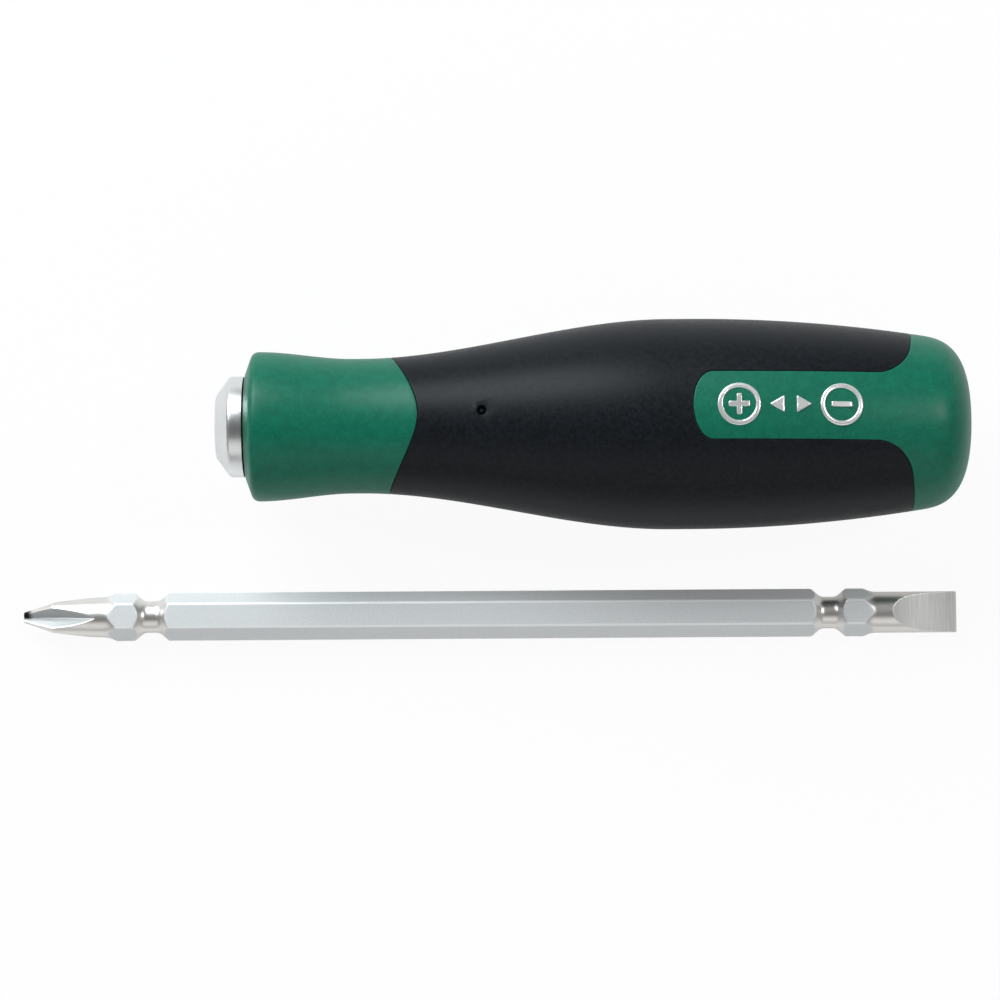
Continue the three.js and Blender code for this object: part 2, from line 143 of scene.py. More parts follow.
def bezier(start, middle, end, count):  # quadratic curve through two ends, drawn towards its middle point
    t = np.linspace(0, 1, count)[:, None]
    return (1 - t) ** 2 * np.array(start) + 2 * t * (1 - t) * np.array(middle) + t ** 2 * np.array(end)


# Shader maths

class Wire:  # a socket in a node tree: arithmetic on it adds Math nodes
    def __init__(self, board, socket):
        self.board = board
        self.socket = socket

    def math(self, operation, *values):
        return self.board.add("ShaderNodeMath", {"operation": operation}, dict(enumerate(values)))

    def __add__(self, other):
        return self.math("ADD", self, other)

    def __radd__(self, other):
        return self.math("ADD", other, self)

    def __sub__(self, other):
        return self.math("SUBTRACT", self, other)

    def __rsub__(self, other):
        return self.math("SUBTRACT", other, self)

    def __mul__(self, other):
        return self.math("MULTIPLY", self, other)

    def __rmul__(self, other):
        return self.math("MULTIPLY", other, self)

    def between(self, low, high):  # 0 below low, 1 above high, eased
        settings = {"interpolation_type": "SMOOTHSTEP"}
        inputs = {"Value": self, "From Min": low, "From Max": high}
        return self.board.add("ShaderNodeMapRange", settings, inputs)


class Board:  # a node tree that nodes are added to
    def __init__(self, tree):
        self.tree = tree

    def add(self, kind, settings, inputs, output=0):
        node = self.tree.nodes.new(kind)
        for name, value in settings.items():
            setattr(node, name, value)
        for name, value in inputs.items():
            if isinstance(value, Wire):
                self.tree.links.new(value.socket, node.inputs[name])
            else:
                node.inputs[name].default_value = value
        return Wire(self, node.outputs[output])

    def mixColour(self, factor, first, second):
        inputs = {0: factor, 6: first, 7: second}
        return self.add("ShaderNodeMix", {"data_type": "RGBA"}, inputs, output=2)

    def place(self):
        return self.add("ShaderNodeTexCoord", {}, {}, output="Object")

    def noise(self, place, scale, detail=2.0, stretch=(1, 1, 1)):  # scale is in grains per metre
        if stretch != (1, 1, 1):
            place = self.add("ShaderNodeMapping", {}, {"Vector": place, "Scale": stretch})
        inputs = {"Vector": place, "Scale": scale, "Detail": detail}
        return self.add("ShaderNodeTexNoise", {}, inputs, output="Fac")

    def zone(self, name):  # a number that a piece carries at its corners
        return self.add("ShaderNodeAttribute", {"attribute_name": name}, {}, output="Fac")


def newFinish(name, constants):  # a material with its board and its shader
    finish = bpy.data.materials.new(name)
    finish.use_nodes = True
    shader = finish.node_tree.nodes["Principled BSDF"]
    for socket, value in constants.items():
        shader.inputs[socket].default_value = value
    return finish, Board(finish.node_tree), shader


def feed(board, shader, links):  # wires go into the shader's sockets
    for socket, wire in links.items():
        board.tree.links.new(wire.socket, shader.inputs[socket])


def bump(board, height, relief):  # relief is a strength and a depth in metres
    inputs = {"Strength": relief[0], "Distance": relief[1], "Height": height}
    return board.add("ShaderNodeBump", {}, inputs, output="Normal")


# Finishes

greenPlastic = {
    "deep": (0.0008, 0.114, 0.066, 1),
    "plain": (0.0016, 0.135, 0.079, 1),
    "pale": (0.0050, 0.178, 0.112, 1),
    "mottle": 700,  # patches per metre
    "grain": 2600,
    "mottleRange": (0.30, 0.70),  # noise values that the colours change over
    "grainRange": (0.45, 0.85),
    "paleShare": 0.6,
    "roughness": 0.41,
    "mottleRoughness": 0.04,
    "grainRoughness": 0.14,
    "relief": (0.14, 0.00004),
    "gloss": {"IOR": 1.47, "Specular IOR Level": 0.30},
}


def greenFinish():
    g = greenPlastic
    finish, board, shader = newFinish("greenPlastic", g["gloss"])
    place = board.place()
    mottle = board.noise(place, g["mottle"], 4.0)
    grain = board.noise(place, g["grain"], 2.0)
    base = board.mixColour(mottle.between(*g["mottleRange"]), g["deep"], g["plain"])
    colour = board.mixColour(grain.between(*g["grainRange"]) * g["paleShare"], base, g["pale"])
    rough = g["roughness"] + g["mottleRoughness"] * (mottle - 0.5) + g["grainRoughness"] * (grain - 0.5)
    relief = bump(board, grain, g["relief"])
    feed(board, shader, {"Base Color": colour, "Roughness": rough, "Normal": relief})
    return finish


blackGrip = {
    "deep": (0.0038, 0.0046, 0.0062, 1),
    "dusty": (0.0098, 0.0120, 0.0155, 1),
    "mottle": 1400,
    "grain": 2900,
    "range": (0.25, 0.75),
    "mottleShare": 0.6,
    "grainShare": 0.4,
    "roughness": 0.41,
    "unevenRoughness": 0.16,
    "relief": (0.28, 0.00004),
    "gloss": {"IOR": 1.45, "Specular IOR Level": 0.17},
}


def gripFinish():
    g = blackGrip
    finish, board, shader = newFinish("blackGrip", g["gloss"])
    place = board.place()
    mottle = board.noise(place, g["mottle"], 3.0)
    grain = board.noise(place, g["grain"], 2.0)
    share = mottle.between(*g["range"]) * g["mottleShare"] + grain.between(*g["range"]) * g["grainShare"]
    colour = board.mixColour(share, g["deep"], g["dusty"])
    rough = g["roughness"] + g["unevenRoughness"] * (mottle - 0.5) + g["unevenRoughness"] * (grain - 0.5)
    relief = bump(board, grain, g["relief"])
    feed(board, shader, {"Base Color": colour, "Roughness": rough, "Normal": relief})
    return finish


bladeSteel = {
    "satin": (0.690, 0.706, 0.718, 1),
    "satinPale": (0.750, 0.764, 0.772, 1),
    "bright": (0.80, 0.775, 0.745, 1),
    "fluted": (0.57, 0.58, 0.58, 1),
    "ground": (0.50, 0.505, 0.49, 1),
    "groundPale": (0.60, 0.60, 0.58, 1),
    # painted highlight: near-white colour along the hex bar's edges
    "edgeGlint": (0.93, 0.935, 0.94, 1),
    # painted shade: near-black colour at the cross tip's end, on its +Y side
    "tipShade": (0.012, 0.012, 0.012, 1),
    "satinRoughness": 0.53,
    "turnedRoughness": 0.35,
    "flutedRoughness": 0.42,
    "groundRoughness": 0.54,
    "edgeGlintRoughness": 0.50,
    "satinMetal": 0.42,  # the rest scatters like fine frost
    "turnedMetal": 1.0,
    "flutedMetal": 0.75,
    "groundMetal": 0.70,
    # little metal, so the painted highlight on the edges reads bright from any side
    "edgeGlintMetal": 0.30,
    "grindLines": 6500,
    "lineStretch": (1, 0.03, 0.03),  # draws the noise out across the blade
    "grain": 3600,
    "range": (0.3, 0.7),
    "grainRoughness": 0.10,
    "lineHeight": 2.0,
    "relief": (0.12, 0.00003),
}


def bladeFinish():
    s = bladeSteel
    finish, board, shader = newFinish("bladeSteel", {})
    place = board.place()
    zones = {name: board.zone(name) for name in ("turned", "fluted", "ground", "edgeGlint", "tipShade")}
    grain = board.noise(place, s["grain"], 3.0)
    lines = board.noise(place, s["grindLines"], 3.0, s["lineStretch"])
    colour = board.mixColour(grain.between(*s["range"]), s["satin"], s["satinPale"])
    brushed = board.mixColour(lines.between(*s["range"]), s["ground"], s["groundPale"])
    tints = {"turned": s["bright"], "fluted": s["fluted"], "ground": brushed}
    # painted highlight on the hex edges and painted shade at the cross tip's end
    tints.update({"edgeGlint": s["edgeGlint"], "tipShade": s["tipShade"]})
    for name, tint in tints.items():
        colour = board.mixColour(zones[name], colour, tint)
    uneven = s["grainRoughness"] * (grain - 0.5)
    rough = s["satinRoughness"] + uneven * (1 - zones["turned"]) * (1 - zones["fluted"])
    metal = s["satinMetal"]
    for name in ("turned", "fluted", "ground", "edgeGlint"):
        rough = rough + (s[name + "Roughness"] - s["satinRoughness"]) * zones[name]
        metal = metal + (s[name + "Metal"] - s["satinMetal"]) * zones[name]
    cut = lines * zones["ground"] * s["lineHeight"]
    height = grain * (1 - zones["turned"]) * (1 - zones["ground"]) + cut
    relief = bump(board, height, s["relief"])
    feed(board, shader, {"Base Color": colour, "Roughness": rough, "Metallic": metal, "Normal": relief})
    return finish


collarMetal = {
    "light": (0.82, 0.82, 0.82, 1),
    "dull": (0.70, 0.705, 0.71, 1),
    # painted shade: near-black colour for the groove's floor in front of the nose
    "grooveShade": (0.030, 0.032, 0.035, 1),
    "rings": 7000,  # turning marks per metre of length
    "ringStretch": (1, 0.01, 0.01),
    "cloud": 500,
    "roughness": 0.31,
    "ringRoughness": 0.12,
    "cloudRoughness": 0.06,
    "grooveShadeRoughness": 0.4,
    "relief": (0.20, 0.00002),
}


def collarFinish():
    c = collarMetal
    finish, board, shader = newFinish("turnedAluminium", {"Metallic": 1.0})
    place = board.place()
    grooveShade = board.zone("grooveShade")
    rings = board.noise(place, c["rings"], 2.0, c["ringStretch"])
    cloud = board.noise(place, c["cloud"], 2.0)
    # the groove's floor is painted near-black as the shade where the collar meets the nose
    colour = board.mixColour(grooveShade, board.mixColour(cloud, c["dull"], c["light"]), c["grooveShade"])
    uneven = c["ringRoughness"] * (rings - 0.5) + c["cloudRoughness"] * (cloud - 0.5)
    rough = c["roughness"] + uneven + c["grooveShadeRoughness"] * grooveShade
    relief = bump(board, rings, c["relief"])
    feed(board, shader, {"Base Color": colour, "Roughness": rough, "Normal": relief})
    return finish


plainMetals = {  # for the small pieces: colour, roughness, darkest share of the colour, metal
    "socketSteel": ((0.50, 0.51, 0.52, 1), 0.35, 0.8, 1.0),
    "ballSteel": ((0.80, 0.81, 0.82, 1), 0.12, 0.8, 1.0),
    "springSteel": ((0.40, 0.41, 0.42, 1), 0.30, 0.8, 1.0),
    "markChrome": ((0.93, 0.925, 0.92, 1), 0.28, 0.95, 0.75),
}
metalGrain = {
    "grain": 4000,
    "roughness": 0.06,
}


def steelFinish(name):
    colour, roughness, dullness, metal = plainMetals[name]
    finish, board, shader = newFinish(name, {"Metallic": metal})
    grain = board.noise(board.place(), metalGrain["grain"], 2.0)
    dull = tuple(dullness * part for part in colour[:3]) + (1,)
    rough = roughness + metalGrain["roughness"] * grain
    feed(board, shader, {"Base Color": board.mixColour(grain, dull, colour), "Roughness": rough})
    return finish


green = greenFinish()
black = gripFinish()
steel = bladeFinish()
silver = collarFinish()
socketSteel, ballSteel, springSteel, chrome = [steelFinish(name) for name in plainMetals]
print("finishes made")


# Handle's outer shape

handle = {
    "length": 111.0,  # stations run back from the collar's front face
    "noseStart": 4.35,
    "boreRadius": 7.75,
    "boreEnd": 24.8,
    "pocketRadius": 5.5,  # round the socket tube
    "pocketEnd": 46.3,
    "mouthRim": 0.12,  # bevel at the bore's mouth
    "lip": 0.15,
    "faceSlope": 2.8,
    "fillet": 0.9,
    "noseRadius": 11.03,
    "waist": 20.0,
    "waistFlat": 1.4,
    "waistRadius": 9.94,
    "belly": 66.6,
    "bellyFlat": 3.25,
    "bellyRadius": 15.52,
    "domeLength": 7.3,
    "domeRadius": 12.9,
    "domePower": 3.0,
    "panelRoll": math.radians(4.7),  # turn of the label tongue towards +Y
    "edgeRound": 0.18,
}
lipRadius = handle["boreRadius"] + handle["lip"]
noseCorner = handle["noseStart"] + (handle["noseRadius"] - lipRadius) / handle["faceSlope"]
noseShoulder = noseCorner + handle["fillet"]
waistEnd = handle["waist"] + handle["waistFlat"]
bellyEnd = handle["belly"] + handle["bellyFlat"]
domeStart = handle["length"] - handle["domeLength"]


def handleRadius(station):  # eased from nose to waist to belly, a parabola to the dome, then a superellipse
    h = handle
    nose = h["noseRadius"] + (h["waistRadius"] - h["noseRadius"]) * ease(
        (station - noseShoulder) / (h["waist"] - noseShoulder))
    swell = h["waistRadius"] + (h["bellyRadius"] - h["waistRadius"]) * ease(
        (station - waistEnd) / (h["belly"] - waistEnd))
    fall = np.clip((station - bellyEnd) / (domeStart - bellyEnd), 0, None)
    body = np.where(station < waistEnd, nose, swell) - (h["bellyRadius"] - h["domeRadius"]) * fall ** 2
    dome = np.clip((station - domeStart) / h["domeLength"], 0, 1)
    return body * (1 - dome ** h["domePower"]) ** (1 / h["domePower"])


def turnedPoint(station, radius, angle):  # angle is from the middle of the label tongue, towards +Y
    turn = angle + handle["panelRoll"]
    station, radius, turn = np.broadcast_arrays(station, radius, turn)
    return handleOrigin + mm * np.stack([station, radius * np.sin(turn), radius * np.cos(turn)], -1)


def skin(station, angle, depth=0.0):  # the handle's surface, sunk by a depth
    return turnedPoint(station, handleRadius(station) - depth, angle)


# Outlines between the green and the black

grip = {
    "thickness": 2.0,
    "bed": 2.3,  # depth of the green core under the grip
    "apex": 29.83,
    "frontSlope": 0.669,
    "frontRadius": 5.0,
    "rear": 100.7,  # at the middle of the handle
    "tongueLength": 31.1,
    "tongueHalfWidth": 5.02,
    "tipLength": 2.9,
    "tipPower": 2.0,
    "flareLength": 4.4,
    "flareWidth": 4.6,
    "rearSlant": 0.2,  # how far the rear edge runs back for each step outwards
    "bendStart": 84.0,  # where the rows begin to lean towards the slanted rear edge
    "gap": 0.03,
    "edgeRound": 0.14,
    "columns": 84,  # over half the way round
    "columnBunching": 0.5,
    "edgeSteps": 100,
    "curveSteps": 300,
    "frontRows": 60,
    "rowBunching": 0.4,
    "roundSteps": 5,
    "frontSettle": 6,  # rounds of working out a station that depends on the radius there
    "sideSettle": 8,
}
tongueTip = grip["rear"] - grip["tongueLength"]
acrossHalf = spread(grip["columns"], grip["columnBunching"])  # shares of the way from one tongue to the other
allRound = np.concatenate([acrossHalf[:-1] * math.pi, math.pi + acrossHalf[:-1] * math.pi])


def frontLine(inset):  # grip's front edge at each angle round the handle, moved back by an inset
    g = grip
    station = np.full_like(allRound, g["apex"])
    for step in range(g["frontSettle"]):  # the edge is drawn from above
        across = handleRadius(station) * np.sin(allRound)
        station = g["apex"] - g["frontSlope"] * (np.hypot(across, g["frontRadius"]) - g["frontRadius"])
    radius = handleRadius(station)
    along = np.roll(station, -1) - np.roll(station, 1)
    sideways = radius * ((np.roll(allRound, -1) - np.roll(allRound, 1)) % (2 * math.pi))
    length = np.hypot(along, sideways)
    return station + inset * sideways / length, allRound - inset * along / length / radius


def tongueEdge():  # elliptic tip, straight side and elliptic flare, evenly spaced along the edge
    g = grip
    turn = np.linspace(math.pi / 2, 0, g["curveSteps"])
    power = 2 / g["tipPower"]
    tip = np.stack([tongueTip + g["tipLength"] * (1 - np.sin(turn) ** power),
                    g["tongueHalfWidth"] * np.clip(np.cos(turn), 0, None) ** power], -1)
    outwards = g["flareWidth"] * (1 - np.sin(turn))
    flare = np.stack([g["rear"] - g["flareLength"] * (1 - np.cos(turn)) + g["rearSlant"] * outwards,
                      g["tongueHalfWidth"] + outwards], -1)
    line = np.concatenate([tip, flare])
    run = np.concatenate([[0], np.cumsum(np.hypot(*np.diff(line, axis=0).T))])
    even = np.linspace(0, run[-1], g["edgeSteps"] + 1)
    station = np.interp(even, run, line[:, 0])
    return station, np.arcsin(np.interp(even, run, line[:, 1]) / handleRadius(station))


def sideEdge(angle):  # grip's rear edge round one side: a slanted line drawn from above
    station = np.full_like(angle, grip["rear"])
    for step in range(grip["sideSettle"]):
        outwards = handleRadius(station) * np.sin(angle) - grip["tongueHalfWidth"]
        station = grip["rear"] + grip["rearSlant"] * outwards
    return station


edgeStation, edgeAngle = tongueEdge()
sideAngle = edgeAngle[-1] + (math.pi - 2 * edgeAngle[-1]) * acrossHalf
sideStation = sideEdge(sideAngle)
edgeCount = len(edgeStation)
sidePart = slice(edgeCount - 1, edgeCount + grip["columns"])  # the side's share of the loop below
halfStation = np.concatenate([edgeStation, sideStation[1:-1], edgeStation[::-1]])[:-1]
halfAngle = np.concatenate([edgeAngle, sideAngle[1:-1], math.pi - edgeAngle[::-1]])[:-1]
loopStation = np.concatenate([halfStation, halfStation])
loopAngle = np.concatenate([halfAngle, math.pi + halfAngle])
loopAlong = np.roll(loopStation, -1) - np.roll(loopStation, 1)
loopTurn = (np.roll(loopAngle, -1) - np.roll(loopAngle, 1)) % (2 * math.pi)
loopRound = handleRadius(loopStation) * loopTurn
loopLength = np.hypot(loopAlong, loopRound)


def rearLoop(inset):  # the edge behind the grip, round tongues and sides, moved into the grip by an inset
    station = loopStation - inset * loopRound / loopLength
    angle = loopAngle + inset * loopAlong / loopLength / handleRadius(loopStation)
    return station, angle


def gripPatches(inset, depth):  # front part all round, then a wing on each side of the tongues
    frontStation, frontAngle = frontLine(inset)
    rearStation, rearAngle = rearLoop(inset)
    station, angle = rearStation[:edgeCount, None], rearAngle[:edgeCount, None]
    share = spread(grip["frontRows"], grip["rowBunching"])[:, None]
    rowStation = frontStation + (station[0] - frontStation) * share
    rowAngle = frontAngle + (allRound - frontAngle) * share
    patches = [patch(skin(rowStation, rowAngle, depth), around=True)]
    bend = np.clip((station - grip["bendStart"]) / (station[-1] - grip["bendStart"]), 0, 1)
    wing = angle + (math.pi - 2 * angle) * acrossHalf
    wing = wing + bend * (rearAngle[sidePart] - wing[-1])
    wingStation = station + bend * (rearStation[sidePart] - station[-1])
    patches.append(patch(skin(wingStation, wing, depth)))
    patches.append(patch(skin(wingStation, math.pi + wing, depth)))
    return patches


def roundedEdge(line, away, radius, start, floor):  # quarter round from the skin down to a floor
    turn = np.linspace(0, math.pi / 2, grip["roundSteps"] + 1)
    insets = np.concatenate([[start], start + away * radius * (1 - np.cos(turn))])
    depths = np.concatenate([[floor], radius * (1 - np.sin(turn))])
    rows = [skin(*line(inset), depth) for inset, depth in zip(insets, depths)]
    return patch(np.stack(rows), around=True)


# Black grip with its tool-pin hole

pinHole = {
    "station": 39.15,
    "radius": 0.68,
    "lip": 0.16,  # rounding at the mouth
    "depth": 0.8,
    "pipDepth": 0.5,  # top of the pip in the hole's floor
    "pipCrown": 0.9,  # depth of the pip's middle, as a share of that
    "floorShare": 0.75,  # where the floor's flat ring ends, as a share of the radius
    "pipShare": 0.42,
    "lipRows": 5,
    "window": 1.5,  # half the width of the patch that the hole is set in
}


def cutPinHole(patches):  # a window of the front patch is swapped for rings that end in the hole's floor
    p = pinHole
    points, quads = patches[0]
    columns = len(allRound)
    radius = float(handleRadius(np.array(p["station"])))
    grid = points.reshape(-1, columns, 3)
    near = np.where(np.abs((grid[:, 0, 0] - handleOrigin[0]) / mm - p["station"]) < p["window"])[0]
    side = int(np.searchsorted(allRound * radius, p["window"]))
    inside = np.arange(-side, side + 1) % columns
    row, column = quads[:, 0] // columns, quads[:, 0] % columns
    cut = (row >= near[0]) & (row < near[-1]) & np.isin(column, inside[:-1])
    first, last = near[0], near[-1]
    border = np.concatenate([
        grid[first, inside[:-1]], grid[first:last, inside[-1]],
        grid[last, inside[:0:-1]], grid[last:first:-1, inside[0]]])
    centre = skin(np.array(p["station"]), np.array(0.0))
    out = centre - turnedPoint(np.array(p["station"]), np.array(0.0), np.array(0.0))
    out = out / np.linalg.norm(out)
    across = np.cross(out, [1.0, 0, 0])
    turn = np.arctan2((border - centre) @ across, border[:, 0] - centre[0])
    ringTurn = np.stack([np.cos(turn), np.sin(turn)], -1) @ np.stack([[1.0, 0, 0], across])
    curve = np.linspace(0, math.pi / 2, p["lipRows"])
    rings = [(p["radius"] + p["lip"] * (1 - math.sin(t)), -p["lip"] * (1 - math.cos(t))) for t in curve]
    rings += [(p["radius"], -p["depth"]), (p["floorShare"] * p["radius"], -p["depth"])]
    rings += [(p["pipShare"] * p["radius"], -p["pipDepth"]), (0.0, -p["pipCrown"] * p["pipDepth"])]
    body = [border] + [centre + mm * (size * ringTurn + height * out) for size, height in rings]
    return [(points, quads[~cut]), patch(np.stack(body), around=True)] + patches[1:]


def makeGrip():  # outer and inner skins joined by rounded edges
    g = grip
    outerInset = g["gap"] + g["edgeRound"]
    patches = cutPinHole(gripPatches(outerInset, 0.0))
    patches += gripPatches(g["gap"], g["thickness"])
    for line in (frontLine, rearLoop):
        patches.append(roundedEdge(line, 1, g["edgeRound"], g["gap"], g["thickness"]))
    piece = makePiece("softGrip", patches, "handle", black)
    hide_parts("grip_sleeve")


# Green core: nose, bed under the grip, label tongues and dome

core = {
    "cornerRows": 9,
    "noseRows": 40,
    "tongueColumns": 36,
    "tongueBunching": 0.6,
    "rearRows": 7,
    "domeRows": 36,
}


def makeCore():  # the mouth's profile turned round the axis, then patches on the handle's surface
    h, g = handle, grip
    r = h["edgeRound"]
    rim = h["mouthRim"]
    run = h["fillet"] / math.hypot(1, h["faceSlope"])
    face = (noseCorner - run, h["noseRadius"] - h["faceSlope"] * run)
    shoulder = (noseShoulder, h["noseRadius"])
    corner = bezier(face, (noseCorner, h["noseRadius"]), shoulder, core["cornerRows"])
    mouth = [(h["pocketEnd"], 0), (h["pocketEnd"], h["pocketRadius"]), (h["boreEnd"], h["pocketRadius"]),
             (h["boreEnd"], h["boreRadius"]), (h["noseStart"] + rim, h["boreRadius"]),
             (h["noseStart"], h["boreRadius"] + rim), (h["noseStart"], lipRadius)]
    profile = np.concatenate([mouth, corner])
    noseRows = turnedPoint(profile[:, :1], profile[:, 1:], allRound)
    edgeStations, edgeAngles = frontLine(-r)
    share = np.linspace(0, 1, core["noseRows"])[1:, None]
    flankStation = noseShoulder + (edgeStations - noseShoulder) * share
    flank = skin(flankStation, allRound + (edgeAngles - allRound) * share)
    patches = [patch(np.concatenate([noseRows, flank]), around=True)]
    patches += gripPatches(0.0, g["bed"])
    for line in (frontLine, rearLoop):
        patches.append(roundedEdge(line, -1, r, 0.0, g["bed"]))
    rearStation, rearAngle = rearLoop(-r)
    station, angle = rearStation[:edgeCount, None], rearAngle[:edgeCount, None]
    tongue = angle * (spread(core["tongueColumns"], core["tongueBunching"]) * 2 - 1)
    patches.append(patch(skin(station + 0 * tongue, tongue)))
    patches.append(patch(skin(station + 0 * tongue, math.pi + tongue)))
    acrossTongue = tongue[-1, :-1]
    half = np.concatenate([acrossTongue, rearAngle[sidePart][:-1]])
    start = np.concatenate([np.full(len(acrossTongue), station[-1, 0]), rearStation[sidePart][:-1]])
    ring = np.concatenate([half, math.pi + half])
    start = np.concatenate([start, start])
    share = np.linspace(0, 1, core["rearRows"])[:, None]
    turn = np.linspace(0, math.pi / 2, core["domeRows"])[1:, None]
    cap = domeStart + h["domeLength"] * np.sin(turn) ** (2 / h["domePower"])
    rearRows = np.concatenate([start + (domeStart - start) * share, cap + 0 * ring])
    patches.append(patch(skin(rearRows, ring), around=True))
    piece = makePiece("greenCore", patches, "handle", green)
    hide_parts("handle_core")


makeGrip()
makeCore()


# Release collar

collar = {
    "radius": 7.45,
    "length": 15.7,
    "faceRadius": 4.65,
    "chamfer": 2.05,
    "mouthRadius": 3.8775,
    "frontWall": 2.2,
    "reliefRadius": 5.95,
    "guideRadius": 5.35,
    "reliefEnd": 5.1,
    "taperEnd": 8.0,
    "round": 0.18,
    "shoulderRound": 0.42,
    "grooveStart": 4.08,  # groove in front of the nose, its floor painted dark as shade
    "grooveEnd": 4.36,
    "grooveDepth": 0.42,
    "grooveRound": 0.05,
    "unshadedWall": 0.5,  # the inside, up to this far past the relief, gets no painted shade
    "shadeMargin": 0.01,
    "columns": 160,
}


def roundedCorner(before, corner, after, radius, count=8):  # points that round a corner of a profile
    toBefore, toAfter = np.subtract(before, corner), np.subtract(after, corner)
    first = corner + toBefore / np.linalg.norm(toBefore) * radius
    last = corner + toAfter / np.linalg.norm(toAfter) * radius
    return bezier(first, corner, last, count)


def makeCollar():  # a profile of stations, radii and corner rounds, carried round the axis
    c = collar
    floor = c["radius"] - c["grooveDepth"]
    sharp = np.array([
        (c["frontWall"], c["mouthRadius"], c["round"]), (0, c["mouthRadius"], c["round"]),
        (0, c["faceRadius"], c["round"]), (c["chamfer"], c["radius"], c["shoulderRound"]),
        (c["grooveStart"], c["radius"], c["grooveRound"]), (c["grooveStart"], floor, c["grooveRound"]),
        (c["grooveEnd"], floor, c["grooveRound"]), (c["grooveEnd"], c["radius"], c["grooveRound"]),
        (c["length"], c["radius"], c["round"]), (c["length"], c["guideRadius"], c["round"]),
        (c["taperEnd"], c["guideRadius"], c["round"]), (c["reliefEnd"], c["reliefRadius"], c["round"]),
        (c["frontWall"], c["reliefRadius"], c["round"])])
    spots = sharp[:, :2]
    corners = [roundedCorner(before, corner, after, radius) for before, corner, after, radius
               in zip(np.roll(spots, 1, 0), spots, np.roll(spots, -1, 0), sharp[:, 2])]
    profile = np.concatenate(corners + [corners[0][:1]])
    rows = turnedPoint(profile[:, :1], profile[:, 1:], fullTurn(c["columns"]))
    piece = makePiece("releaseCollar", [patch(rows, around=True)], "collar", silver)
    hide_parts("release_collar")
    # painted shade: a mask that darkens the groove's floor, most at its bottom
    along, across, up = meshSpots(piece.data, handleOrigin)
    outside = np.hypot(across, up) > c["reliefRadius"] + c["unshadedWall"]
    margin = c["shadeMargin"]
    sunk = (along > c["grooveStart"] - margin) & (along < c["grooveEnd"] + margin) & outside
    depth = np.where(sunk, c["radius"] - np.hypot(across, up), 0)
    addZone(piece.data, "grooveShade", ease(depth / c["grooveDepth"]))


makeCollar()


# Locking balls

ball = {
    "rows": 25,
    "columns": 48,
}


def makeBall(name, node, body):  # sphere from pole to pole round the node's middle
    low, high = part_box(node)
    middle, radius = np.array((low + high) / 2), (high.z - low.z) / 2
    down = np.linspace(0, math.pi, ball["rows"])[:, None]
    turn = fullTurn(ball["columns"])
    ring = np.sin(down)
    points = middle + radius * np.stack(
        np.broadcast_arrays(ring * np.cos(turn), ring * np.sin(turn), np.cos(down)), -1)
    piece = makePiece(name, [patch(points, around=True)], body, ballSteel)
    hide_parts(node)


makeBall("upperBall", "locking_ball_upper", "upper_ball")
makeBall("lowerBall", "locking_ball_lower", "lower_ball")


# Collar's spring

spring = {
    "wireRadius": 0.35,
    "coils": 4.25,
    "rows": 340,
    "columns": 16,
    "pressed": 3.0,  # how much the collar shortens it
}


def makeSpring():  # round wire wound evenly round the handle's axis, flat at both ends
    s = spring
    low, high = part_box("collar_spring")
    length = (high.x - low.x) / mm
    start = (low.x - handleOrigin[0]) / mm + s["wireRadius"]
    coilRadius = (high.y - low.y) / 2 / mm - s["wireRadius"]
    share = np.concatenate([[0, 0], np.linspace(0, 1, s["rows"]), [1, 1]])[:, None]
    wire = s["wireRadius"] * np.concatenate([[0, 0.5], np.ones(s["rows"]), [0.5, 0]])[:, None]
    turn = fullTurn(s["columns"])
    station = start + (length - 2 * s["wireRadius"]) * share + wire * np.sin(turn)
    wound = math.pi / 2 - 2 * math.pi * s["coils"] * share - handle["panelRoll"]
    rows = turnedPoint(station, coilRadius + wire * np.cos(turn), wound)
    piece = makePiece("collarSpring", [patch(rows, around=True)], "handle", springSteel)
    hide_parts("collar_spring")
    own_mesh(piece)


makeSpring()


# Blade

blade = {
    "length": 140.0,  # stations run from the cross tip
    "acrossFlats": 6.35,
    "hexRound": 0.25,
    "groove": 19.2,  # tip to the middle of the ball groove
    "grooveWidth": 5.25,
    "neckRadius": 2.37,
    "neckWidth": 2.3,
    "neckRound": 0.55,
    "bandWidth": 2.6,
    "pointRadius": 0.9,
    "coneLength": 4.45,
    "coneRadius": 2.72,
    "crossShank": 11.8,
    "crossRadius": 3.02,
    "fluteRoot": 0.45,
    "fluteLength": 10.9,
    "fluteAngle": math.radians(92),
    "fluteTurn": math.radians(6),  # from straight up, towards -Y
    "slotShank": 12.0,
    "slotRadius": 3.08,
    "tipThickness": 1.0,
    "grindLength": 9.8,
    "grindEntry": 0.55,
    "grindTip": 0.08,
    "edgeBreak": 0.10,
    "endBreak": 0.07,
    "fluteRound": 0.035,  # rounding of the flutes' roots, as a share of a radian
    "fluteRunOut": 1.05,  # no flute past this share of its length
    "fluteEdge": 0.05,  # roundings beside the flutes and the ground faces
    "groundEdge": 0.06,
    "edgeShare": 0.3,  # the most that such a rounding takes of a face's width
    "uncut": 9.0,  # a radius past the bar, where nothing is cut
    "landColumns": 48,
    "fluteColumns": 18,
    "faceColumns": 48,
    "sideColumns": 96,
    "bunching": 0.7,  # how closely the columns crowd at the hexagon's edges
    "endRow": 0.14,  # spacing of the rows near both ends
    "endLength": 23.0,
    "crossRows": 80,
    "crossBunching": 1.8,
    "slotRows": 58,
    "slotBunching": 1.7,
    "barRows": 30,
    "flareRows": 20,
    "grindRows": 200,
    "endRows": 5,
    "driftLength": 1.2,  # over which the columns turn from the flutes to the hexagon
    "crowdLength": 2,
    "softStart": 1.2,  # the soft edges fade out from here in front of the slotted shank
    "softLength": 2,
    "leastSoft": 0.001,
    "halvings": 40,
    "settleSteps": 30,
    "crease": 50,
}
